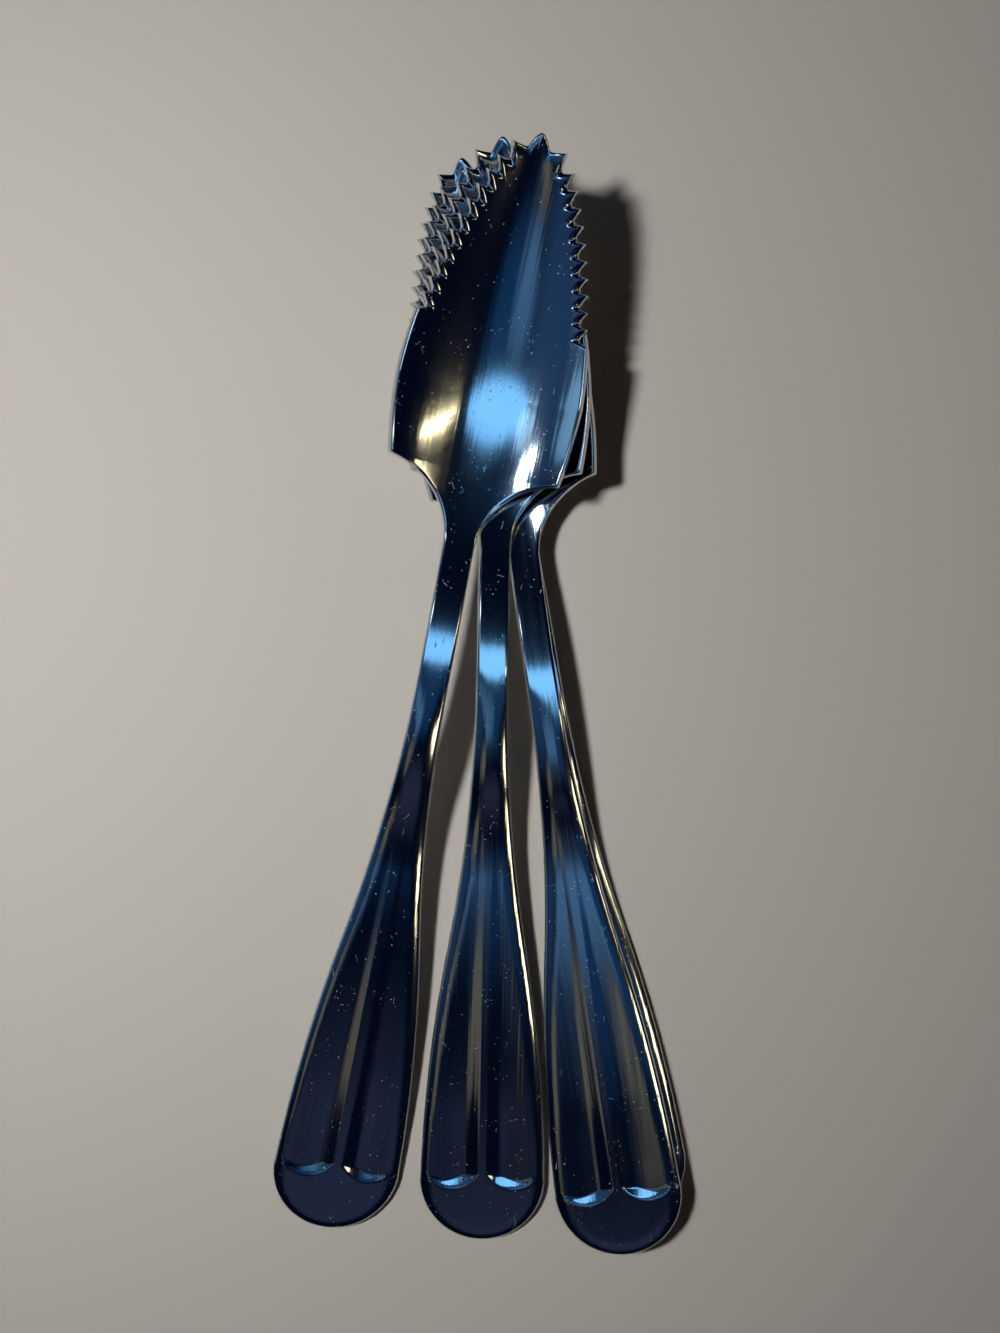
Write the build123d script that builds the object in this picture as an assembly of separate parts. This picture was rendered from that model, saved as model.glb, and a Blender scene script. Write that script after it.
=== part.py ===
from build123d import *

import copy
import math
import os

# A nest of four alike grapefruit spoons, each pressed from one strip of stainless steel:
# a shallow leaf-shaped bowl with a serrated front edge, a slim neck and a flat fluted handle.
# Millimetres, +Z up from the table, +Y towards the bowl tips.

# One spoon, seen from above; places along it are measured back from the bowl tip.
LENGTH = 160.0
BOWL_WIDTH = 25.5
BOWL_WIDEST = 33.5
SHOULDER = 44.4
SHOULDER_WIDTH = 23.6
NOSE_WIDTH = 2.8
NOSE_POWER = 1.5
NOSE_ROUND = 1.75
REAR_SWEEP = 10.8
NECK_WIDTH = 4.6
HANDLE_WIDTH = 19.0

# Taper of the handle, measured from its round end.
TAPER_START = 4.0
TAPER_END = 86.0

# One spoon, seen from the side; heights are of its underside, lying alone on the table.
BOWL_SHEET = 1.1
NECK_THICKNESS = 2.1
HANDLE_THICKNESS = 1.6
BOWL_LOWEST = 47.0
TIP_RISE = 8.6
CREST = 71.0
CREST_RISE = 2.1
HANDLE_FLAT = 104.0

# Cross-section of the bowl: how far its rim stands above its middle.
BOWL_DEPTH = 4.2
SHOULDER_DEPTH = 3.6
DEPTH_POWER = 1.2
NECK_FLAT = 61.0

# Serrated front edge: one rounded tooth at the tip and, measured along the rim behind its foot,
# the notches between the side teeth.
TIP_TOOTH = 1.9
TIP_TOOTH_WIDTH = 2.9
TIP_TOOTH_ROUND = 0.6
NOTCHES = 11
FIRST_NOTCH = 1.5
TOOTH_PITCH = 2.23
TOOTH_DEPTH = 1.4
TOOTH_LAND = 0.2

# Pattern pressed into the handle: two flutes with crescent ends beside a middle ridge.
FLUTE_DEPTH = 0.4
FLUTE_FADE = 0.03
FLUTE_MARGIN = 0.7
FLUTE_END = 76.0
RIDGE_WIDTH = 2.0
CRESCENT_END = 8.5
CRESCENT_RADIUS = 5.6
CRESCENT_SLOPE = 1.4

# How the spoons lie in the nest, from the table up: place of the bowl's middle, lean, sideways tilt.
BOWL_MIDDLE = 34.0
NEST_GAP = 0.35
LAYERS = (
    ("bottom_spoon", 0.0, 0.0, -9.3, 0.0),
    ("third_spoon", 0.7, -3.1, -8.4, -5.0),
    ("second_spoon", -0.3, -1.1, 1.2, 0.0),
    ("top_spoon", -2.0, -1.4, 11.3, 7.0),
)

# Steps of the drawn curves and of the seating measurement.
BOWL_STEPS = 9
REAR_STEPS = 4
FLUTE_STEPS = 5
SEAT_STEP = 0.8
SEAT_COLUMNS = 8
SEAT_TURNS = 20
SEAT_CLOSE = 0.002
FLATTEST = 0.01

# Worked out from the sizes above.
NECK_START = SHOULDER + REAR_SWEEP
CREST_TOP = CREST_RISE + NECK_THICKNESS
RISE_RADIUS = (BOWL_LOWEST**2 + TIP_RISE**2) / (2 * TIP_RISE)


def s_bend(x, length, rise):
    """Height of two alike arcs that climb from level to level, one bent up and one bent down."""
    x = min(length, max(0.0, x))
    if x > length / 2:
        return rise - s_bend(length - x, length, rise)
    radius = (length**2 + rise**2) / (4 * rise)
    return radius - math.sqrt(radius**2 - x**2)


def handle_half(back):
    """Half width of the neck and handle, a given way from the round end."""
    taper = s_bend(back - TAPER_START, TAPER_END - TAPER_START, (HANDLE_WIDTH - NECK_WIDTH) / 2)
    return HANDLE_WIDTH / 2 - taper


def rear_half(s):
    """Half width behind the shoulder, where one arc sweeps from the bowl's corner into the neck."""
    if s > NECK_START:
        return handle_half(LENGTH - s)
    inset = (SHOULDER_WIDTH - NECK_WIDTH) / 2
    radius = (inset**2 + REAR_SWEEP**2) / (2 * inset)
    return NECK_WIDTH / 2 + radius - math.sqrt(radius**2 - (NECK_START - s) ** 2)


def bowl_half(s):
    """Half width of the bowl's sheet; it stays at the shoulder's width behind the shoulder."""
    if s > SHOULDER:
        return SHOULDER_WIDTH / 2
    if s > BOWL_WIDEST:
        share = (s - BOWL_WIDEST) / (SHOULDER - BOWL_WIDEST)
        return BOWL_WIDTH / 2 + (SHOULDER_WIDTH - BOWL_WIDTH) / 2 * share**2
    blunt = (1 - (NOSE_WIDTH / BOWL_WIDTH) ** NOSE_ROUND) ** (1 / NOSE_POWER)
    ahead = blunt * (1 - s / BOWL_WIDEST)
    return BOWL_WIDTH / 2 * (1 - ahead**NOSE_POWER) ** (1 / NOSE_ROUND)


def outline_half(s):
    """Half width of the whole spoon."""
    if s <= SHOULDER:
        return bowl_half(s)
    back = LENGTH - s
    end_radius = HANDLE_WIDTH / 2
    if back < end_radius:
        return math.sqrt(max(0.0, end_radius**2 - (end_radius - back) ** 2))
    return rear_half(s)


def under_line(s):
    """Height of the underside along the middle; it meets the table behind the bowl and at the handle."""
    if s <= BOWL_LOWEST:
        return RISE_RADIUS - math.sqrt(RISE_RADIUS**2 - (BOWL_LOWEST - s) ** 2)
    if s <= CREST:
        return s_bend(s - BOWL_LOWEST, CREST - BOWL_LOWEST, CREST_RISE)
    return CREST_RISE - s_bend(s - CREST, HANDLE_FLAT - CREST, CREST_RISE)


def top_line(s):
    """Height of the upper face along the middle; the steel is thin at the bowl and thick at the neck."""
    if s <= BOWL_LOWEST:
        return RISE_RADIUS - math.sqrt((RISE_RADIUS - BOWL_SHEET) ** 2 - (BOWL_LOWEST - s) ** 2)
    if s <= CREST:
        return BOWL_SHEET + s_bend(s - BOWL_LOWEST, CREST - BOWL_LOWEST, CREST_TOP - BOWL_SHEET)
    return CREST_TOP - s_bend(s - CREST, HANDLE_FLAT - CREST, CREST_TOP - HANDLE_THICKNESS)


def thickness(s):
    """The steel is rolled thin at the bowl and left thick at the neck."""
    return top_line(s) - under_line(s)


def dish(s):
    """Height of the rim above the middle; the dish flattens out in the neck."""
    if s <= BOWL_WIDEST:
        return BOWL_DEPTH * (2 * bowl_half(s) / BOWL_WIDTH) ** DEPTH_POWER
    if s <= SHOULDER:
        return BOWL_DEPTH + (SHOULDER_DEPTH - BOWL_DEPTH) * (s - BOWL_WIDEST) / (SHOULDER - BOWL_WIDEST)
    flatten = s_bend(s - SHOULDER, NECK_FLAT - SHOULDER, SHOULDER_DEPTH)
    return max(FLATTEST, SHOULDER_DEPTH - flatten)


def dish_radius(s):
    """Radius of the upper face's arc across the bowl."""
    return (bowl_half(s) ** 2 + dish(s) ** 2) / (2 * dish(s))


def along(s):
    """Place on the spoon's own Y axis."""
    return BOWL_MIDDLE - s


def sheet_point(s, angle, below):
    """A point of the dished sheet, turned out from the middle and below the upper face."""
    reach = dish_radius(s) + below
    return Vector(reach * math.sin(angle), along(s), top_line(s) + dish_radius(s) - reach * math.cos(angle))


def rim_angle(s):
    """Turn from the middle of the sheet out to its rim."""
    return math.asin(bowl_half(s) / dish_radius(s))


def bowl_section(s):
    """Section of the sheet: two arcs about one centre, with edges square to the sheet."""
    angle = rim_angle(s)
    upper = [sheet_point(s, turn, 0) for turn in (-angle, 0, angle)]
    lower = [sheet_point(s, turn, thickness(s)) for turn in (angle, 0, -angle)]
    edges = [
        ThreePointArc(*upper),
        Line(upper[2], lower[0]),
        ThreePointArc(*lower),
        Line(lower[2], upper[0]),
    ]
    return make_face(edges)


def steps(first, last, count):
    return [first + (last - first) * i / count for i in range(count + 1)]


def bowl_blank():
    """The dished sheet, from the tip to the neck, before its back is trimmed."""
    crowding = 1.6
    places = [SHOULDER * share**crowding for share in steps(0, 1, BOWL_STEPS)]
    places += steps(SHOULDER, NECK_FLAT, REAR_STEPS)[1:]
    return loft([bowl_section(s) for s in places])


def plan_side(side):
    """Edge line of the neck and handle on one side, from the shoulder to the round end."""

    def point(s):
        return side * rear_half(s), along(s)

    taper_front = LENGTH - TAPER_END
    taper_middle = LENGTH - (TAPER_START + TAPER_END) / 2
    end = LENGTH - HANDLE_WIDTH / 2
    sweep = ThreePointArc(point(SHOULDER), point((SHOULDER + NECK_START) / 2), point(NECK_START))
    neck = Line(point(NECK_START), point(taper_front))
    narrow = ThreePointArc(point(taper_front), point((taper_front + taper_middle) / 2), point(taper_middle))
    wide = ThreePointArc(point(taper_middle), point((taper_middle + end) / 2), point(end))
    return [sweep, neck, narrow, wide]


def plan_column():
    """What the neck and handle keep behind the shoulder: their outline from above, drawn upright."""
    right = plan_side(1)
    left = plan_side(-1)
    end = ThreePointArc(right[-1] @ 1, (0, along(LENGTH)), left[-1] @ 1)
    front = Line(left[0] @ 0, right[0] @ 0)
    return extrude(make_face(right + [end] + left + [front]), amount=LENGTH, both=True)


def side_arcs(line, places):
    """Arcs of the side view through the given places, each with one more point in its middle."""
    arcs = []
    for start, end in zip(places, places[1:]):
        arcs.append(ThreePointArc(*[(0, along(s), line(s)) for s in (start, (start + end) / 2, end)]))
    return arcs


def handle_blank():
    """The arched neck and flat handle: their side view drawn across."""
    bends = [NECK_FLAT, CREST, (CREST + HANDLE_FLAT) / 2, HANDLE_FLAT]
    upper = side_arcs(top_line, bends)
    lower = side_arcs(under_line, bends)
    front = Line(upper[0] @ 0, lower[0] @ 0)
    end = (0, along(LENGTH))
    flat = Polyline(upper[-1] @ 1, (*end, HANDLE_THICKNESS), (*end, 0), lower[-1] @ 1)
    side_view = make_face(upper + lower + [front, flat])
    return extrude(side_view, amount=HANDLE_WIDTH, dir=(1, 0, 0), both=True)


def flute(side):
    """Cutter for one flute: a shallow trough that narrows with the handle and ends in a crescent."""
    headroom = 0.1
    overrun = 1.0
    sections = []
    for back in steps(CRESCENT_END - overrun, FLUTE_END, FLUTE_STEPS):
        s = LENGTH - back
        inner = RIDGE_WIDTH / 2
        outer = max(handle_half(back) - FLUTE_MARGIN, inner + FLUTE_MARGIN)
        depth = FLUTE_DEPTH - s_bend(back - CRESCENT_END, FLUTE_END - CRESCENT_END, FLUTE_DEPTH - FLUTE_FADE)
        radius = ((outer - inner) ** 2 / 4 + depth**2) / (2 * depth)
        reach = math.sqrt(radius**2 - (radius - depth - headroom) ** 2)
        middle = (inner + outer) / 2
        arc = ThreePointArc(
            (side * middle - reach, along(s), top_line(s) + headroom),
            (side * middle, along(s), top_line(s) - depth),
            (side * middle + reach, along(s), top_line(s) + headroom),
        )
        sections.append(make_face([arc, Line(arc @ 1, arc @ 0)]))
    centre = CRESCENT_END + CRESCENT_RADIUS
    across = side * (RIDGE_WIDTH / 2 + handle_half(centre) - FLUTE_MARGIN) / 2
    floor_radius = CRESCENT_RADIUS - CRESCENT_SLOPE
    head_radius = CRESCENT_RADIUS + CRESCENT_SLOPE * headroom / FLUTE_DEPTH
    standing = (Align.CENTER, Align.CENTER, Align.MIN)
    step = Cone(floor_radius, head_radius, FLUTE_DEPTH + headroom, align=standing)
    step = Pos(across, along(LENGTH - centre), HANDLE_THICKNESS - FLUTE_DEPTH) * step
    forward = (Align.CENTER, Align.MIN, Align.CENTER)
    beyond = Pos(0, along(LENGTH - centre), 0) * Box(2 * HANDLE_WIDTH, LENGTH, HANDLE_WIDTH, align=forward)
    return loft(sections) & (step + beyond)


def rim_places(distances):
    """Places along the spoon whose rim lies the given distances behind the tip tooth's foot."""
    step = 0.02
    places = []
    s = TIP_TOOTH
    travelled = 0.0
    last = sheet_point(s, rim_angle(s), 0)
    for distance in distances:
        while travelled < distance:
            s += step
            point = sheet_point(s, rim_angle(s), 0)
            travelled += (point - last).length
            last = point
        places.append(s)
    return places


def notch(s):
    """Cutter for one notch on the right: a V pressed square through the sheet at the rim."""
    nudge = 0.05
    overrun = 1.0
    angle = rim_angle(s)
    rim = sheet_point(s, angle, 0)
    back = (sheet_point(s + nudge, rim_angle(s + nudge), 0) - rim).normalized()
    outward = Vector(math.cos(angle), 0, math.sin(angle))
    normal = back.cross(outward).normalized()
    half = (TOOTH_PITCH - TOOTH_LAND) / 2
    wide = half * (TOOTH_DEPTH + overrun) / TOOTH_DEPTH
    plane = Plane(origin=rim, x_dir=back, z_dir=normal)
    across = plane.y_dir.dot(outward)
    sign = 1 if across > 0 else -1
    vee = Polyline((-wide, sign * overrun), (wide, sign * overrun), (0, -sign * TOOTH_DEPTH), close=True)
    return extrude(plane * make_face(vee), amount=2 * BOWL_SHEET, both=True)


def tip_trim():
    """Cutter, square to the sheet, that leaves a rounded tooth at the tip, with the sheet cut
    straight across beside its foot."""
    nudge = 0.05
    overrun = 1.0
    tip = Vector(0, along(0), top_line(0))
    ahead = tip - Vector(0, along(nudge), top_line(nudge))
    plane = Plane(origin=tip, x_dir=(1, 0, 0), z_dir=Vector(1, 0, 0).cross(ahead))
    forward = (Align.CENTER, Align.MAX)
    blank = Pos(0, overrun) * Rectangle(BOWL_WIDTH, TIP_TOOTH + overrun, align=forward)
    crown = Pos(0, -TIP_TOOTH_ROUND) * Circle(TIP_TOOTH_ROUND)
    foot = Line((-TIP_TOOTH_WIDTH / 2, -TIP_TOOTH), (TIP_TOOTH_WIDTH / 2, -TIP_TOOTH))
    tooth = make_hull([*crown.edges(), foot])
    return extrude(plane * (blank - tooth), amount=2 * BOWL_SHEET, both=True)


def make_spoon():
    """One spoon, lying level with its bowl's middle over the origin."""
    rearward = (Align.CENTER, Align.MAX, Align.CENTER)
    behind = Pos(0, along(SHOULDER), 0) * Box(2 * BOWL_WIDTH, 2 * LENGTH, 2 * LENGTH, align=rearward)
    spoon = bowl_blank() + handle_blank()
    spoon = spoon - (behind - plan_column())
    right = [notch(s) for s in rim_places([FIRST_NOTCH + TOOTH_PITCH * i for i in range(NOTCHES)])]
    left = [mirror(cut, about=Plane.YZ) for cut in right]
    return spoon - right - left - tip_trim() - [flute(1), flute(-1)]


class Pose:
    """Where a spoon lies: the place of its bowl's middle, lean, tilt, pitch and height."""

    def __init__(self, x, y, lean, tilt):
        self.x = x
        self.y = y
        self.lean = lean
        self.tilt = tilt
        self.pitch = 0.0
        self.z = 0.0

    def location(self):
        turned = Rot(0, 0, -self.lean) * Rot(self.pitch, 0, 0) * Rot(0, self.tilt, 0)
        return Pos(self.x, self.y, self.z) * turned

    def outward(self, x, y, z):
        """From the spoon's own axes to the nest's."""
        x, z = turn(x, z, -self.tilt)
        y, z = turn(y, z, self.pitch)
        x, y = turn(x, y, -self.lean)
        return x + self.x, y + self.y, z + self.z

    def inward(self, x, y, z):
        """From the nest's axes to the spoon's own."""
        x, y = turn(x - self.x, y - self.y, self.lean)
        y, z = turn(y, z - self.z, -self.pitch)
        x, z = turn(x, z, self.tilt)
        return x, y, z


def turn(a, b, degrees):
    """A point of a plane, turned about its origin."""
    c = math.cos(math.radians(degrees))
    s = math.sin(math.radians(degrees))
    return a * c - b * s, a * s + b * c


def underside():
    """Points over the underside of a spoon, each with its place along the spoon."""
    points = []
    for s in steps(0, LENGTH, round(LENGTH / SEAT_STEP)):
        angle = math.asin(outline_half(s) / dish_radius(s))
        for column in range(-SEAT_COLUMNS, SEAT_COLUMNS + 1):
            point = sheet_point(s, angle * column / SEAT_COLUMNS, thickness(s))
            points.append((s, tuple(point)))
    return points


def room_under(point, pose, below):
    """Height of a point of a spoon's underside above the table and above the spoons below."""
    x, y, z = pose.outward(*point)
    room = z
    for lower in below:
        lx, ly, lz = lower.inward(x, y, z)
        s = BOWL_MIDDLE - ly
        if 0 <= s <= LENGTH and abs(lx) < outline_half(s) + NEST_GAP:
            radius = dish_radius(s)
            top = top_line(s) + radius - math.sqrt(radius**2 - lx**2)
            room = min(room, lz - top - NEST_GAP)
    return room


def seat(pose, below, points):
    """Lowers and pitches a spoon until its bowl and its handle just rest on what lies below."""
    for _ in range(SEAT_TURNS):
        rooms = [(room_under(point, pose, below), s) for s, point in points]
        front, front_place = min(entry for entry in rooms if entry[1] < CREST)
        rear, rear_place = min(entry for entry in rooms if entry[1] >= CREST)
        if abs(front) < SEAT_CLOSE and abs(rear) < SEAT_CLOSE:
            return
        change = (rear - front) / (rear_place - front_place)
        pose.pitch += math.degrees(change)
        pose.z -= front + change * along(front_place)


spoon = make_spoon()
points = underside()
poses = []
for name, x, y, lean, tilt in LAYERS:
    pose = Pose(x, y, lean, tilt)
    if poses:
        seat(pose, poses, points)
    poses.append(pose)
nest = [pose.location() * spoon for pose in poses]

# The origin is under the middle of the whole nest, on the table.
box = Compound(children=[copy.copy(piece) for piece in nest]).bounding_box()
to_origin = Pos(-box.center().X, -box.center().Y, -box.min.Z)

os.makedirs("parts", exist_ok=True)
for layer, piece in zip(LAYERS, nest):
    export_step(to_origin * piece, f"parts/{layer[0]}.step")
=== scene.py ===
import bisect
import math

import bpy
from mathutils import Matrix, Vector


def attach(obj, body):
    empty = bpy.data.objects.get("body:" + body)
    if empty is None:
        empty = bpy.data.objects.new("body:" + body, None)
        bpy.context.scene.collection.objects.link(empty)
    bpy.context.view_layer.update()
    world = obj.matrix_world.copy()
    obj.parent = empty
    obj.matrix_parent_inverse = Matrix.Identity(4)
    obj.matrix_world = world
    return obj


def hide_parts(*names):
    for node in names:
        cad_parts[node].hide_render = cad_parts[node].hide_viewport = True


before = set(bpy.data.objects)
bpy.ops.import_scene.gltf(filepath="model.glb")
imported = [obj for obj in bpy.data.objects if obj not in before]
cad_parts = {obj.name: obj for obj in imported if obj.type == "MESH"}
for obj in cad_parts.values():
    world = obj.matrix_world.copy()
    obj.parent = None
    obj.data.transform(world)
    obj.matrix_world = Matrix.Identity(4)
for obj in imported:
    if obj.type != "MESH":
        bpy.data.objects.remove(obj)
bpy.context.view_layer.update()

# The spoon: one strip of stainless steel, rolled thin at the bowl, dished, toothed along its front
# edge and coined with two flutes on the handle. Sizes are in millimetres, and places along it are
# measured back from the bowl tip. Half of it is shaped on a grid and mirrored.
MM = 0.001
LENGTH = 160.0
BOWL_WIDTH = 25.5
BOWL_WIDEST = 33.5
SHOULDER = 44.4
SHOULDER_WIDTH = 23.6
NOSE_WIDTH = 2.8
NOSE_POWER = 1.5
NOSE_ROUND = 1.75
REAR_SWEEP = 10.8
NECK_WIDTH = 4.6
HANDLE_WIDTH = 19.0
TAPER_START = 4.0
TAPER_END = 86.0
NECK_START = SHOULDER + REAR_SWEEP
END_RADIUS = HANDLE_WIDTH / 2
END_CENTRE = LENGTH - END_RADIUS

BOWL_SHEET = 1.1
NECK_THICKNESS = 2.1
HANDLE_THICKNESS = 1.6
BOWL_LOWEST = 41.0
TIP_RISE = 8.6
CREST = 78.0
CREST_RISE = 2.1
CREST_TOP = CREST_RISE + NECK_THICKNESS
HANDLE_FLAT = 104.0
RISE_RADIUS = (BOWL_LOWEST**2 + TIP_RISE**2) / (2 * TIP_RISE)

BOWL_DEPTH = 4.2
SHOULDER_DEPTH = 3.6
DEPTH_POWER = 1.2
NECK_FLAT = 61.0
FLATTEST = 0.01
BOWL_MIDDLE = 34.0
NUDGE = 0.02


def ease(share):
    """A soft step from 0 to 1."""
    share = min(1.0, max(0.0, share))
    return share * share * (3 - 2 * share)


def s_bend(x, length, rise):
    """Height of two alike arcs that climb from level to level, one bent up and one bent down."""
    x = min(length, max(0.0, x))
    if x > length / 2:
        return rise - s_bend(length - x, length, rise)
    radius = (length**2 + rise**2) / (4 * rise)
    return radius - math.sqrt(radius**2 - x**2)


def handle_half(back):
    """Half width of the neck and handle, a given way from the round end."""
    taper = s_bend(back - TAPER_START, TAPER_END - TAPER_START, (HANDLE_WIDTH - NECK_WIDTH) / 2)
    return HANDLE_WIDTH / 2 - taper


def bowl_half(s):
    """Half width of the bowl's sheet; it stays at the shoulder's width behind the shoulder."""
    if s > SHOULDER:
        return SHOULDER_WIDTH / 2
    if s > BOWL_WIDEST:
        share = (s - BOWL_WIDEST) / (SHOULDER - BOWL_WIDEST)
        return BOWL_WIDTH / 2 + (SHOULDER_WIDTH - BOWL_WIDTH) / 2 * share**2
    blunt = (1 - (NOSE_WIDTH / BOWL_WIDTH) ** NOSE_ROUND) ** (1 / NOSE_POWER)
    ahead = blunt * (1 - max(0.0, s) / BOWL_WIDEST)
    return BOWL_WIDTH / 2 * (1 - ahead**NOSE_POWER) ** (1 / NOSE_ROUND)


def outline_half(s):
    """Half width of the whole spoon: bowl, sweep into the neck, handle and round end."""
    if s <= SHOULDER:
        return bowl_half(s)
    if s < NECK_START:
        inset = (SHOULDER_WIDTH - NECK_WIDTH) / 2
        radius = (inset**2 + REAR_SWEEP**2) / (2 * inset)
        return NECK_WIDTH / 2 + radius - math.sqrt(radius**2 - (NECK_START - s) ** 2)
    if s > END_CENTRE:
        return math.sqrt(max(0.0, END_RADIUS**2 - (s - END_CENTRE) ** 2))
    return handle_half(LENGTH - s)


def under_line(s):
    """Height of the underside along the middle."""
    if s <= BOWL_LOWEST:
        return RISE_RADIUS - math.sqrt(RISE_RADIUS**2 - (BOWL_LOWEST - s) ** 2)
    if s <= CREST:
        return s_bend(s - BOWL_LOWEST, CREST - BOWL_LOWEST, CREST_RISE)
    return CREST_RISE - s_bend(s - CREST, HANDLE_FLAT - CREST, CREST_RISE)


def top_line(s):
    """Height of the upper face along the middle."""
    if s <= BOWL_LOWEST:
        return RISE_RADIUS - math.sqrt((RISE_RADIUS - BOWL_SHEET) ** 2 - (BOWL_LOWEST - s) ** 2)
    if s <= CREST:
        return BOWL_SHEET + s_bend(s - BOWL_LOWEST, CREST - BOWL_LOWEST, CREST_TOP - BOWL_SHEET)
    return CREST_TOP - s_bend(s - CREST, HANDLE_FLAT - CREST, CREST_TOP - HANDLE_THICKNESS)


def dish_radius(s):
    """Radius of the upper face's arc across the bowl; the dish flattens out in the neck."""
    half = bowl_half(s)
    if s <= BOWL_WIDEST:
        depth = BOWL_DEPTH * (2 * half / BOWL_WIDTH) ** DEPTH_POWER
    elif s <= SHOULDER:
        depth = BOWL_DEPTH + (SHOULDER_DEPTH - BOWL_DEPTH) * (s - BOWL_WIDEST) / (SHOULDER - BOWL_WIDEST)
    else:
        flatten = s_bend(s - SHOULDER, NECK_FLAT - SHOULDER, SHOULDER_DEPTH)
        depth = max(FLATTEST, SHOULDER_DEPTH - flatten)
    return (half**2 + depth**2) / (2 * depth)


def upper_face(w, s):
    """A point of the smooth upper face, w across the sheet from its middle."""
    radius = dish_radius(s)
    turn = w / radius
    return Vector((radius * math.sin(turn), BOWL_MIDDLE - s, top_line(s) + radius * (1 - math.cos(turn))))


def in_sheet(w, s, below):
    """A point of the steel, square below the upper face."""
    point = upper_face(w, s)
    across = upper_face(w + NUDGE, s) - upper_face(w - NUDGE, s)
    back = upper_face(w, s + NUDGE) - point
    return point + across.cross(back).normalized() * below


def sheet_thickness(s):
    """Thickness of the steel, square to its faces."""
    slope = (top_line(s + NUDGE) - top_line(s)) / NUDGE
    return (top_line(s) - under_line(s)) / math.sqrt(1 + slope**2)


# The flutes pressed into the handle: two troughs beside a middle ridge, each ending in a crescent.
FLUTE_DEPTH = 0.3
FLUTE_LOWEST = 0.3
FLUTE_MARGIN = 0.9
FLUTE_END = 72.0
RIDGE_WIDTH = 1.2
CRESCENT_DEPTH = 0.46
CRESCENT_END = 8.3
CRESCENT_RADIUS = 4.4
CRESCENT_SLOPE = 1.5
CRESCENT_REACH = 12.0
CRESCENT_CENTRE = CRESCENT_END + CRESCENT_RADIUS


def flute_edges(back):
    """How far from the middle a flute starts and ends."""
    inner = RIDGE_WIDTH / 2
    return inner, max(handle_half(back) - FLUTE_MARGIN, inner + FLUTE_MARGIN)


def flute_depth(w, s):
    """How deep the flute is at a place of the handle."""
    back = LENGTH - s
    inner, outer = flute_edges(back)
    deepest = FLUTE_DEPTH - s_bend(back - CRESCENT_END, FLUTE_END - CRESCENT_END, FLUTE_DEPTH)
    share = (w - inner) / (outer - inner)
    if not 0 < share < 1 or deepest <= 0:
        return 0.0
    deepest += (CRESCENT_DEPTH - FLUTE_DEPTH) * ease(1 - (back - CRESCENT_CENTRE) / CRESCENT_REACH)
    sunk = share / FLUTE_LOWEST if share < FLUTE_LOWEST else (1 - share) / (1 - FLUTE_LOWEST)
    trough = deepest * (5 * sunk - sunk**5) / 4
    if back >= CRESCENT_CENTRE:
        return trough
    inner, outer = flute_edges(CRESCENT_CENTRE)
    off_middle = min(CRESCENT_RADIUS, abs(w - (inner + outer) / 2))
    arc = math.sqrt(CRESCENT_RADIUS**2 - off_middle**2)
    wall = CRESCENT_DEPTH * max(0.0, back - CRESCENT_CENTRE + arc) / CRESCENT_SLOPE
    return min(trough, wall)


# The edge line, walked in the flattened sheet from the tip round to the end of the handle: a rounded
# tooth at the tip, the sheet cut straight across beside its foot, then the bowl's own outline.
WALK_STEP = 0.02
TIP_TOOTH = 1.9
TIP_TOOTH_WIDTH = 2.9
TIP_TOOTH_POWER = 1.6
CORNER_ROUND = 0.15


def bowl_edge(s):
    """How far across the sheet its edge lies."""
    radius = dish_radius(s)
    return radius * math.asin(outline_half(s) / radius)


def edge_walk():
    """Points of the edge: distance walked, place across, place along."""
    foot = TIP_TOOTH_WIDTH / 2
    steps = round(TIP_TOOTH / WALK_STEP)
    shares = [i / steps for i in range(steps)]
    places = [(foot * share, TIP_TOOTH * share**TIP_TOOTH_POWER) for share in shares]
    places += [(foot + (bowl_edge(TIP_TOOTH) - foot) * share, TIP_TOOTH) for share in shares]
    s = TIP_TOOTH
    while s < END_CENTRE:
        places.append((bowl_edge(s), s))
        slant = abs(outline_half(s + WALK_STEP / 10) - outline_half(s)) / (WALK_STEP / 10)
        s += WALK_STEP / math.sqrt(1 + slant**2)
    steps = round(END_RADIUS * math.pi / 2 / WALK_STEP)
    for i in range(steps + 1):
        turn = math.pi / 2 * i / steps
        places.append((END_RADIUS * math.cos(turn), END_CENTRE + END_RADIUS * math.sin(turn)))
    walk = []
    walked = 0.0
    last = upper_face(*places[0])
    for w, s in places:
        point = upper_face(w, s)
        walked += (point - last).length
        last = point
        walk.append((walked, w, s))
    return walk


WALK = edge_walk()
WALK_LENGTH = WALK[-1][0]


def edge_at(distance):
    """The edge's place at a distance walked from the tip; past either end it goes on mirrored."""
    if distance < 0:
        return Vector((-1, 1)) * edge_at(-distance)
    if distance > WALK_LENGTH:
        return Vector((-1, 1)) * edge_at(2 * WALK_LENGTH - distance)
    low = bisect.bisect_right(WALK, (distance, math.inf, math.inf), 1, len(WALK) - 1) - 1
    before, after = WALK[low], WALK[low + 1]
    share = (distance - before[0]) / max(WALK_STEP / 100, after[0] - before[0])
    return Vector(before[1:]).lerp(Vector(after[1:]), min(1.0, share))


def walked_to(s):
    """Distance walked to a place along the spoon, at or behind the first side tooth."""
    return max(entry[0] for entry in WALK if entry[2] <= s)


# The side teeth: notches with rounded valleys, measured along the edge behind the first side tooth.
NOTCHES = 11
FIRST_NOTCH = 1.5
TOOTH_PITCH = 2.23
TOOTH_DEPTH = 1.33
VALLEY_ROUND = 0.45
NOTCH_HALF = TOOTH_PITCH / 2
FIRST_TOOTH = walked_to(TIP_TOOTH)
SERRATED = FIRST_TOOTH + FIRST_NOTCH + TOOTH_PITCH * (NOTCHES - 0.5)


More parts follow.
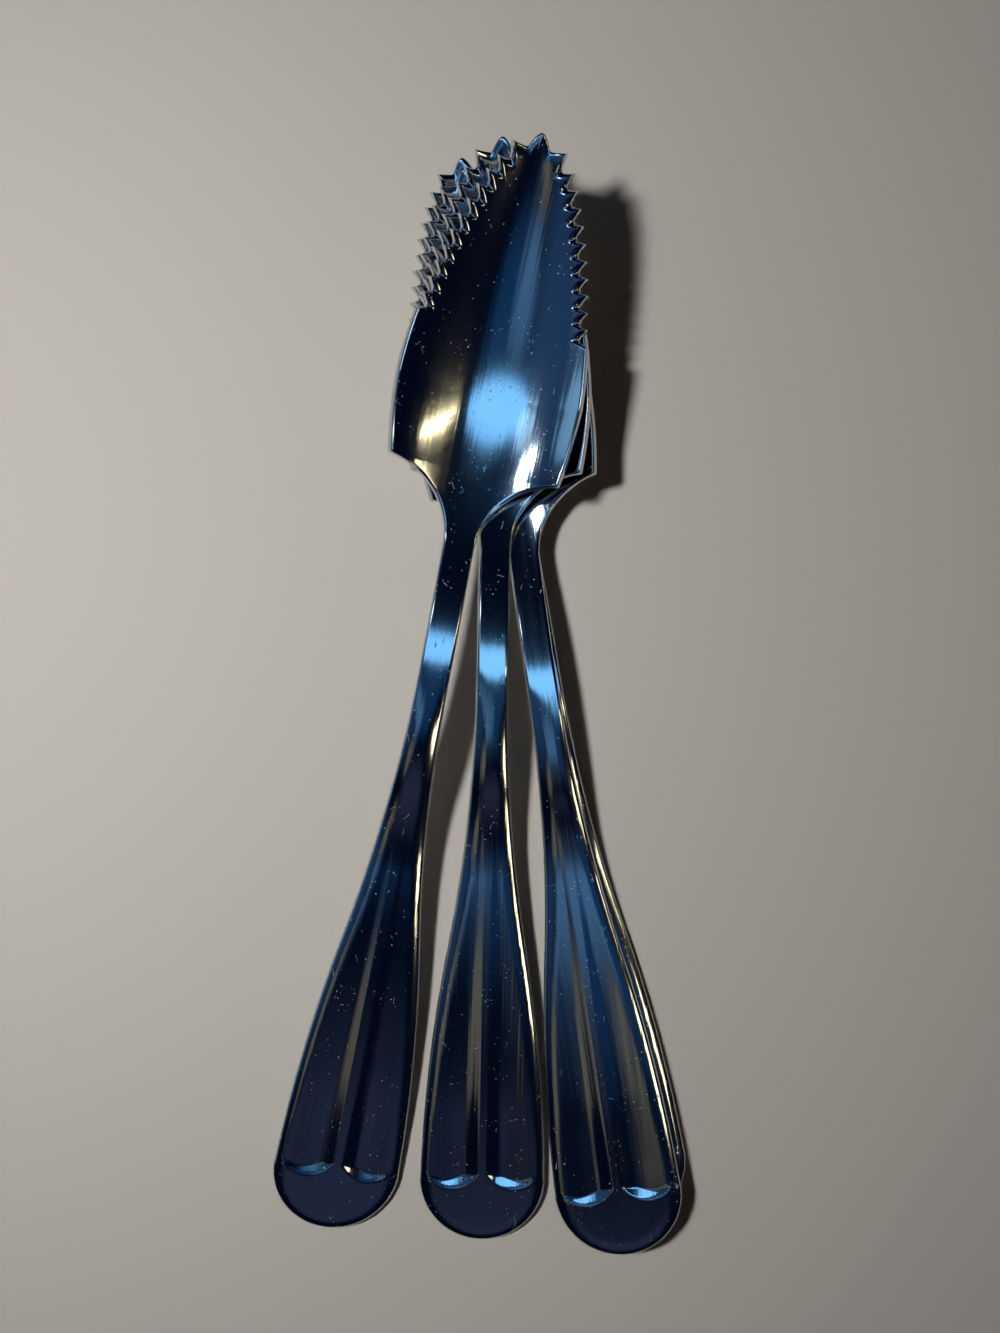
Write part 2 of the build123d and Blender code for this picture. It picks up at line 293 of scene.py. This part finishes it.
def notch_depth(distance):
    """How far a notch cuts in from the edge."""
    behind = distance - FIRST_TOOTH - FIRST_NOTCH
    nearest = min(NOTCHES - 1, max(0, round(behind / TOOTH_PITCH)))
    off_middle = behind - nearest * TOOTH_PITCH
    if nearest == 0 and off_middle < 0:
        off_middle *= NOTCH_HALF / FIRST_NOTCH
    if abs(off_middle) >= NOTCH_HALF:
        return 0.0
    tip = math.hypot(NOTCH_HALF, VALLEY_ROUND)
    return TOOTH_DEPTH * (tip - math.hypot(off_middle, VALLEY_ROUND)) / (tip - VALLEY_ROUND)


# The edges, softened by tumbling: the teeth roll over at their edges, and most of all in the valleys;
# the handle is crowned from behind the neck's crest on.
TOOTH_ROLL = 0.2, 1.3
VALLEY_ROLL = 0.3, 1.1
PLAIN_ROLL = 0.04, 0.6
CROWN = 0.42, 2.2
CROWN_START = 72.0
CROWN_FULL = 84.0


def roll(shape, inside):
    """How far an edge roll, given as its drop and width, lowers the face this far inside the edge."""
    drop, width = shape
    return drop * max(0.0, 1 - inside / width) ** 2


def edge_drop(distance, s, inside):
    """How far the upper face is lowered near the edge, this far inside it."""
    crowned = ease((s - CROWN_START) / (CROWN_FULL - CROWN_START))
    toothed = ease((SERRATED - distance) / TOOTH_PITCH)
    valley = notch_depth(distance) / TOOTH_DEPTH
    toothed_drop = toothed * roll(TOOTH_ROLL, inside) + valley * roll(VALLEY_ROLL, inside)
    plain_drop = (1 - toothed) * (1 - crowned) * roll(PLAIN_ROLL, inside)
    return toothed_drop + plain_drop + crowned * roll(CROWN, inside)


# Rows run from the middle line out to the edge: close together at the teeth and at the crescents.
TIP_ROW = 0.12
NOTCH_ROWS = 8
BOWL_ROW = 0.4
HANDLE_ROW = 0.7
CRESCENT_ROW = 0.12
END_ROW = 0.35


def spread(first, last, step):
    """Distances from first up to, but not including, last."""
    count = max(1, round((last - first) / step))
    return [first + (last - first) * i / count for i in range(count)]


rows = spread(0.0, FIRST_TOOTH, TIP_ROW)
for notch in range(NOTCHES):
    valley = FIRST_TOOTH + FIRST_NOTCH + TOOTH_PITCH * notch
    tooth = valley - NOTCH_HALF if notch else FIRST_TOOTH
    rows += spread(tooth, valley, (valley - tooth) / NOTCH_ROWS)
    rows += spread(valley, valley + NOTCH_HALF, NOTCH_HALF / NOTCH_ROWS)
rows += spread(SERRATED, walked_to(NECK_START), BOWL_ROW)
crescent_rows = walked_to(LENGTH - CRESCENT_CENTRE), walked_to(LENGTH - CRESCENT_END + CRESCENT_SLOPE)
rows += spread(walked_to(NECK_START), crescent_rows[0], HANDLE_ROW)
rows += spread(crescent_rows[0], crescent_rows[1], CRESCENT_ROW)
rows += spread(crescent_rows[1], WALK_LENGTH, END_ROW) + [WALK_LENGTH]

# Columns run over the upper face, round the edge and back under: ridge, flute and margin, then the
# rounded edge, then the plain underside.
RIDGE_COLUMNS = 4
FLUTE_COLUMNS = 18
MARGIN_COLUMNS = 9
ROUND_COLUMNS = 3
WALL_COLUMNS = 2
UNDER_COLUMNS = 14
TOP_COLUMNS = RIDGE_COLUMNS + FLUTE_COLUMNS + MARGIN_COLUMNS
EDGE_COLUMNS = 2 * ROUND_COLUMNS + WALL_COLUMNS
COLUMNS = TOP_COLUMNS + EDGE_COLUMNS + UNDER_COLUMNS
BOWL_SHARES = 0.15, 0.87
BOWL_EDGE_ROUND = 0.18
HANDLE_EDGE_ROUND = 0.4
NOSE_SPINE = 7.0
NOSE_FAN = 25.0
END_SPINE = 9.0
END_FAN = 20.0


def top_share(column, s):
    """How far across from the middle line to the edge a column of the upper face lies."""
    half = handle_half(max(END_RADIUS, LENGTH - s))
    inner, outer = flute_edges(max(END_RADIUS, LENGTH - s))
    slim = ease((s - SHOULDER) / (NECK_FLAT - SHOULDER))
    ridge = BOWL_SHARES[0] + (inner / half - BOWL_SHARES[0]) * slim
    flute = BOWL_SHARES[1] + (min(outer / half, BOWL_SHARES[1]) - BOWL_SHARES[1]) * slim
    if LENGTH - s < FLUTE_END:
        flute = outer / half
    if column <= RIDGE_COLUMNS:
        return ridge * column / RIDGE_COLUMNS
    column -= RIDGE_COLUMNS
    if column <= FLUTE_COLUMNS:
        return ridge + (flute - ridge) * column / FLUTE_COLUMNS
    return flute + (1 - flute) * (column - FLUTE_COLUMNS) / MARGIN_COLUMNS


def middle_place(s):
    """Where on the middle line a row starts; rows fan out at the tip and at the round end."""
    if s < NOSE_FAN:
        return s + NOSE_SPINE * (1 - s / NOSE_FAN) ** 2
    fan = max(0.0, s - LENGTH + END_FAN) / END_FAN
    return s - END_SPINE * fan**2


def row_frame(distance):
    """A row's place on the middle line, its place on the edge and the way out across the edge."""
    before = edge_at(distance - CORNER_ROUND)
    after = edge_at(distance + CORNER_ROUND)
    edge = (before + edge_at(distance) + after) / 3
    back = after - before
    return Vector((0.0, middle_place(edge.y))), edge, Vector((back.y, -back.x)).normalized()


def spoon_point(distance, column):
    """The point of the half spoon in a row and a column."""
    middle, edge, out = row_frame(distance)
    s = edge.y
    slim = ease((s - SHOULDER) / (NECK_FLAT - SHOULDER))
    edge_round = BOWL_EDGE_ROUND + (HANDLE_EDGE_ROUND - BOWL_EDGE_ROUND) * slim
    cut = notch_depth(distance) * out
    thick = sheet_thickness(s)

    def across(share):
        """A place between the middle line and the start of the rounded edge."""
        return middle + (edge - edge_round * out - middle) * share - cut * ease(2 * share - 1)

    if column <= TOP_COLUMNS:
        place = across(top_share(column, s))
        inside = (edge - cut - place).length
        return in_sheet(place.x, place.y, flute_depth(place.x, place.y) + edge_drop(distance, s, inside))
    column -= TOP_COLUMNS
    if column < EDGE_COLUMNS:
        lower = column > ROUND_COLUMNS
        step = max(ROUND_COLUMNS, column - WALL_COLUMNS) if lower else column
        turn = math.pi / 2 * step / ROUND_COLUMNS
        inset = edge_round * (1 - math.sin(turn))
        below = edge_round * (1 - math.cos(turn)) + edge_drop(distance, s, inset)
        if lower:
            below = thick - edge_round * (1 + math.cos(turn))
        if lower and column < ROUND_COLUMNS + WALL_COLUMNS:
            below = (thick + edge_drop(distance, s, 0.0)) / 2
        place = edge - inset * out - cut
        return in_sheet(place.x, place.y, below)
    place = across(1 - (column - EDGE_COLUMNS) / UNDER_COLUMNS)
    return in_sheet(place.x, place.y, sheet_thickness(place.y))


SHARP_CORNER = math.radians(40)
MERGE = 1e-6

bpy.ops.object.select_all(action="DESELECT")
bpy.ops.mesh.primitive_grid_add(x_subdivisions=len(rows) - 1, y_subdivisions=COLUMNS, size=1.0)
blank = bpy.context.object
blank.name = "spoon_blank"
for vertex in blank.data.vertices:
    row = round((vertex.co.x + 0.5) * (len(rows) - 1))
    column = round((vertex.co.y + 0.5) * COLUMNS)
    vertex.co = spoon_point(rows[row], column) * MM
for vertex in blank.data.vertices:
    if abs(vertex.co.x) < MERGE:
        vertex.co.x = 0.0
mirror = blank.modifiers.new("mirror", "MIRROR")
mirror.use_axis = (True, False, False)
mirror.merge_threshold = MERGE
bpy.ops.object.modifier_apply(modifier="mirror")
bpy.ops.object.mode_set(mode="EDIT")
bpy.ops.mesh.select_all(action="SELECT")
bpy.ops.mesh.remove_doubles(threshold=MERGE)
bpy.ops.mesh.normals_make_consistent(inside=False)
bpy.ops.object.mode_set(mode="OBJECT")
bpy.ops.object.shade_smooth_by_angle(angle=SHARP_CORNER)

# The steel: stainless, polished lengthwise and worn by use, with fine brush lines, short scratches,
# scuffs and specks that follow each spoon's own length, in millimetres. A grain is its noise's scale
# across, its scale along and its detail; scratches are cells per millimetre, longest half and half width.
STEEL = 0.62, 0.63, 0.65, 1.0
STEEL_DULL = 0.5, 0.52, 0.56, 1.0
POLISH = 0.075
BRUSH_TURN = 0.16
BRUSH_GRAIN = 4.0, 0.03, 4.0
CLOUD_GRAIN = 0.16, 0.1, 3.0
SCUFF_GRAIN = 1.6, 0.8, 5.0
PATCH_GRAIN = 0.35, 0.22, 4.0
PATCH_EDGES = 0.5, 0.62
SCUFF_EDGES = 0.6, 0.72
SCUFFS_EVERYWHERE = 0.25
SMALL_SCRATCHES = 0.3, 0.6, 0.016
LARGE_SCRATCHES = 0.17, 1.1, 0.018
SCRATCH_SPIN = 40.0
SPECKS = 1.1
SPECK_SIZE = 0.09
CLOUD_ROUGHNESS = 0.05
WORN_ROUGHNESS = 0.12
MARK_ROUGHNESS = 0.3
MARK_DULLNESS = 0.6
BUMP_STRENGTH = 0.15
BUMP_HEIGHT = 0.00004


class Wire:
    """A value in a node tree; maths on it adds Math nodes."""

    def __init__(self, tree, socket=None):
        self.tree = tree
        self.socket = socket

    def node(self, kind, settings, sockets, output=0):
        """Adds a node, with its settings first, and gives one of its outputs."""
        made = self.tree.nodes.new(kind)
        for name, value in settings.items():
            setattr(made, name, value)
        for name, value in sockets.items():
            if isinstance(value, Wire):
                self.tree.links.new(value.socket, made.inputs[name])
            else:
                made.inputs[name].default_value = value
        return Wire(self.tree, made.outputs[output] if made.outputs else None)

    def maths(self, operation, first, second=0.0):
        return self.node("ShaderNodeMath", {"operation": operation}, {0: first, 1: second})

    def vector(self, operation, first, second, output=0):
        """Maths on vectors."""
        return self.node("ShaderNodeVectorMath", {"operation": operation}, {0: first, 1: second}, output)

    def ramp(self, low, high):
        """0 below low, 1 above high, and soft between."""
        settings = {"interpolation_type": "SMOOTHSTEP"}
        return self.node("ShaderNodeMapRange", settings, {"Value": self, "From Min": low, "From Max": high})

    def __add__(self, other):
        return self.maths("ADD", self, other)

    def __radd__(self, other):
        return self.maths("ADD", other, self)

    def __sub__(self, other):
        return self.maths("SUBTRACT", self, other)

    def __rsub__(self, other):
        return self.maths("SUBTRACT", other, self)

    def __mul__(self, other):
        return self.maths("MULTIPLY", self, other)

    def __rmul__(self, other):
        return self.maths("MULTIPLY", other, self)

    def __lt__(self, other):
        return self.maths("LESS_THAN", self, other)

    def __gt__(self, other):
        return self.maths("GREATER_THAN", self, other)


def steel_finish():
    """Brushed and worn stainless steel, on the strip's own coordinates."""
    material = bpy.data.materials.new("steel")
    material.use_nodes = True
    tree = material.node_tree
    tree.nodes.clear()
    wire = Wire(tree)
    strip = wire.node("ShaderNodeAttribute", {"attribute_name": "strip"}, {}, "Vector")
    across = wire.node("ShaderNodeAttribute", {"attribute_name": "across"}, {}, "Vector")
    facing = wire.node("ShaderNodeNewGeometry", {}, {}, "Normal")

    def grain(wide, long, detail):
        """Noise with its own scale across and along the strip."""
        stretched = wire.node("ShaderNodeMapping", {}, {"Vector": strip, "Scale": (wide, long, wide)})
        sockets = {"Vector": stretched, "Scale": 1.0, "Detail": detail, "Roughness": 0.6}
        return wire.node("ShaderNodeTexNoise", {}, sockets, "Fac")

    def cells(scale, output):
        """Scattered points over the strip, seen from above."""
        flat = {"voronoi_dimensions": "2D"}
        return wire.node("ShaderNodeTexVoronoi", flat, {"Vector": strip, "Scale": scale}, output)

    def scratches(scale, length, width):
        """Short straight lines, one in each cell, each turned its own way."""
        chance = wire.node("ShaderNodeSeparateColor", {}, {"Color": cells(scale, "Color")}, "Red")
        from_middle = wire.vector("SUBTRACT", strip, cells(scale, "Position"))
        turned = wire.node(
            "ShaderNodeVectorRotate",
            {"rotation_type": "Z_AXIS"},
            {"Vector": from_middle, "Angle": chance * SCRATCH_SPIN},
        )
        along = wire.node("ShaderNodeSeparateXYZ", {}, {"Vector": turned}, "X")
        aside = wire.node("ShaderNodeSeparateXYZ", {}, {"Vector": turned}, "Y")
        return (wire.maths("ABSOLUTE", along) < length * chance) * (wire.maths("ABSOLUTE", aside) < width)

    brush = grain(*BRUSH_GRAIN)
    cloud = grain(*CLOUD_GRAIN)
    scuff = grain(*SCUFF_GRAIN)
    patch = grain(*PATCH_GRAIN).ramp(*PATCH_EDGES)
    worn = scuff.ramp(*SCUFF_EDGES) * (SCUFFS_EVERYWHERE + patch)
    pick = wire.node("ShaderNodeSeparateColor", {}, {"Color": cells(SPECKS, "Color")}, "Green")
    speck = (cells(SPECKS, "Distance") < SPECK_SIZE * pick * pick) * (patch * 0.6 + pick > 1.0)
    scratched = scratches(*SMALL_SCRATCHES) + scratches(*LARGE_SCRATCHES)
    marks = scratched * (patch > 0.4) + speck
    colour = wire.node(
        "ShaderNodeMix",
        {"data_type": "RGBA"},
        {"Factor": worn * 0.5 + cloud * 0.3, "A": STEEL, "B": STEEL_DULL},
        "Result",
    )
    lean = (brush - 0.5) * BRUSH_TURN
    turn = wire.node("ShaderNodeVectorMath", {"operation": "SCALE"}, {"Vector": across, "Scale": lean})
    brushed = wire.vector("ADD", facing, turn)
    lines = wire.node(
        "ShaderNodeBump",
        {},
        {"Strength": BUMP_STRENGTH, "Distance": BUMP_HEIGHT, "Height": worn + marks, "Normal": brushed},
    )
    shader = wire.node(
        "ShaderNodeBsdfPrincipled",
        {},
        {
            "Base Color": colour,
            "Metallic": 1 - marks * MARK_DULLNESS,
            "Roughness": POLISH + cloud * CLOUD_ROUGHNESS + worn * WORN_ROUGHNESS + marks * MARK_ROUGHNESS,
            "Normal": lines,
        },
    )
    wire.node("ShaderNodeOutputMaterial", {}, {"Surface": shader})
    return material


blank.data.materials.append(steel_finish())

# The nest: four alike spoons, loose, each resting on those below it. A spoon's place is that of its
# bowl's middle; it is tilted sideways, pitched and leaned about that place, in that order.
NEST = {
    "bottom_spoon": {"place": (2.9484, 47.1126, 0.001), "pitch": 0.0, "lean": -9.3, "tilt": 0.0},
    "third_spoon": {"place": (3.6484, 44.0126, 2.9476), "pitch": 0.1409, "lean": -8.4, "tilt": -5.0},
    "second_spoon": {"place": (2.6484, 46.0126, 6.3399), "pitch": 2.8837, "lean": 1.2, "tilt": 0.0},
    "top_spoon": {"place": (0.9484, 45.7126, 9.2351), "pitch": 3.8959, "lean": 11.3, "tilt": 7.0},
}
GRAIN_APART = Vector((41.0, 173.0, 0.0))

for layer, (name, lie) in enumerate(NEST.items()):
    bpy.ops.object.select_all(action="DESELECT")
    blank.select_set(True)
    bpy.context.view_layer.objects.active = blank
    bpy.ops.object.duplicate()
    spoon = bpy.context.object
    spoon.name = name + "_steel"
    turned = Matrix.Rotation(math.radians(-lie["lean"]), 4, "Z")
    turned = turned @ Matrix.Rotation(math.radians(lie["pitch"]), 4, "X")
    turned = turned @ Matrix.Rotation(math.radians(lie["tilt"]), 4, "Y")
    strip = spoon.data.attributes.new("strip", "FLOAT_VECTOR", "POINT")
    for vertex, own in zip(spoon.data.vertices, strip.data):
        own.vector = Vector((vertex.co.x, vertex.co.y, 0.0)) / MM + layer * GRAIN_APART
    across = spoon.data.attributes.new("across", "FLOAT_VECTOR", "POINT")
    for own in across.data:
        own.vector = turned @ Vector((1.0, 0.0, 0.0))
    spoon.matrix_world = Matrix.Translation(Vector(lie["place"]) * MM) @ turned
    bpy.ops.object.transform_apply(location=True, rotation=True, scale=True)
    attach(spoon, name)
    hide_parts(name)
bpy.data.objects.remove(blank)

# The floor: a plain pale sheet under the nest.
FLOOR_SIZE = 3.0
FLOOR_COLOUR = 0.62, 0.555, 0.49, 1.0
FLOOR_ROUGHNESS = 0.9

bpy.ops.object.select_all(action="DESELECT")
bpy.ops.mesh.primitive_plane_add(size=FLOOR_SIZE)
floor = bpy.context.object
floor.name = "floor"
pale = bpy.data.materials.new("floor")
pale.use_nodes = True
pale.node_tree.nodes["Principled BSDF"].inputs["Base Color"].default_value = FLOOR_COLOUR
pale.node_tree.nodes["Principled BSDF"].inputs["Roughness"].default_value = FLOOR_ROUGHNESS
floor.data.materials.append(pale)

# The room that the steel mirrors: dark navy, with soft glows that are seen from the nest so many degrees
# right of and ahead of overhead and are so many degrees wide. The floor gets a little warm light instead.
ROOM = 0.0008, 0.003, 0.012, 1.0
FLOOR_FILL = 0.013, 0.01, 0.008, 1.0
GLOWS = {
    "left": {"right": -31, "ahead": 0, "wide": 28, "colour": (0.018, 0.055, 0.13, 1.0)},
    "left_low": {"right": -78, "ahead": 8, "wide": 38, "colour": (0.14, 0.22, 0.3, 1.0)},
    "middle": {"right": 8, "ahead": -13, "wide": 13, "colour": (0.006, 0.035, 0.1, 1.0)},
    "upper": {"right": -5, "ahead": -19, "wide": 9, "colour": (0.014, 0.028, 0.05, 1.0)},
    "tips": {"right": -6, "ahead": -12, "wide": 10, "colour": (0.06, 0.15, 0.29, 1.0)},
    "beige": {"right": -13, "ahead": -25, "wide": 8, "colour": (0.13, 0.12, 0.085, 1.0)},
    "low": {"right": 0, "ahead": -44, "wide": 18, "colour": (0.022, 0.028, 0.052, 1.0)},
}


def overhead_turn(right, ahead):
    """Turns straight up toward a place seen so many degrees right of and ahead of overhead."""
    toward = math.atan2(ahead, right)
    slant = math.radians(math.hypot(right, ahead))
    around = Matrix.Rotation(toward, 4, "Z")
    return around @ Matrix.Rotation(slant, 4, "Y") @ around.inverted()


world = bpy.data.worlds.new("room")
world.use_nodes = True
world.node_tree.nodes.clear()
wire = Wire(world.node_tree)
way = wire.node("ShaderNodeTexCoord", {}, {}, "Generated")
room = wire.node("ShaderNodeRGB", {}, {})
room.socket.default_value = ROOM
for glow in GLOWS.values():
    centre = overhead_turn(glow["right"], glow["ahead"]) @ Vector((0.0, 0.0, 1.0))
    near = wire.vector("DOT_PRODUCT", way, centre, "Value").ramp(math.cos(math.radians(glow["wide"])), 1.0)
    room = wire.node(
        "ShaderNodeMix",
        {"data_type": "RGBA", "blend_type": "ADD"},
        {"Factor": near, "A": room, "B": glow["colour"]},
        "Result",
    )
on_floor = wire.node("ShaderNodeLightPath", {}, {}, "Is Diffuse Ray")
light = wire.node(
    "ShaderNodeMix", {"data_type": "RGBA"}, {"Factor": on_floor, "A": room, "B": FLOOR_FILL}, "Result"
)
wire.node("ShaderNodeOutputWorld", {}, {"Surface": wire.node("ShaderNodeBackground", {}, {"Color": light})})
bpy.context.scene.world = world

# The lamps: one soft key on the left lights the floor, and dim cards give the steel its highlights. One
# warm card stands near, so that the handles mirror it and the bowls don't.
BLUE = 0.2, 0.56, 1.0
WARM = 1.0, 0.86, 0.5
KEY_AWAY = 0.27
CARD_AWAY = 2.0
NEAR_HANDLES = {"away": 0.26, "seen_from": (0.0, -0.03, 0.005)}
CARDS = {
    "key_card": {"right": -23, "ahead": 12.5, "size": (11, 3.6), "glow": 9, "colour": (0.75, 0.9, 1.0)},
    "band_left": {"right": -18, "ahead": 6, "size": (12, 5), "glow": 1.2, "colour": (0.4, 0.74, 1.0)},
    "band_card": {"right": 2, "ahead": 0.6, "size": (40, 7), "glow": 1.8, "colour": BLUE, "roll": -10},
    "left_card": {"right": -48, "ahead": 13, "size": (16, 10), "glow": 0.5, "colour": (0.3, 0.65, 1.0)},
    "bowl_card": {"right": 41, "ahead": -2.5, "size": (26, 1.6), "glow": 7.0, "colour": WARM, "roll": 3},
    "warm_card": {"right": 34, "ahead": -20, "size": (11, 14), "glow": 3.5, "colour": WARM, **NEAR_HANDLES},
}


def soft_lamp(name, right, ahead, size, glow, colour, away=CARD_AWAY, roll=0.0, seen_from=(0.0, 0.0, 0.0)):
    """An area lamp that faces the nest, seen from it so many degrees right of and ahead of overhead.
    Its size is in degrees too, and its glow is how bright it looks."""
    lamp = bpy.data.lights.new(name, "AREA")
    lamp.shape = "ELLIPSE"
    lamp.size, lamp.size_y = [2 * away * math.tan(math.radians(angle / 2)) for angle in size]
    lamp.energy = glow * math.pi * lamp.size * lamp.size_y * math.pi / 4
    lamp.color = colour
    held = bpy.data.objects.new(name, lamp)
    bpy.context.scene.collection.objects.link(held)
    turned = overhead_turn(right, ahead) @ Matrix.Rotation(math.radians(roll), 4, "Z")
    held.matrix_world = Matrix.Translation(seen_from) @ turned @ Matrix.Translation((0, 0, away))
    held.visible_camera = False
    return held


key = soft_lamp("key", right=-28, ahead=9, size=(7, 7), glow=212, colour=(0.93, 0.98, 1.0), away=KEY_AWAY)
key.visible_glossy = False
for name, card in CARDS.items():
    soft_lamp(name, **card).visible_diffuse = False

# The camera: straight above the nest, with the bowls at the top of the picture.
CAMERA_PLACE = 2.95 * MM, 7.515 * MM, 153.6 * MM
IMAGE_HEIGHT = 1333
FOCAL_PIXELS = 1001
SENSOR_WIDTH = 36.0
NEAREST_SEEN = 0.01

lens = bpy.data.cameras.new("camera")
lens.sensor_width = SENSOR_WIDTH
lens.lens = SENSOR_WIDTH * FOCAL_PIXELS / IMAGE_HEIGHT
lens.clip_start = NEAREST_SEEN
camera = bpy.data.objects.new("camera", lens)
camera.location = CAMERA_PLACE
bpy.context.scene.collection.objects.link(camera)
bpy.context.scene.camera = camera
bpy.context.scene.view_settings.view_transform = "Standard"
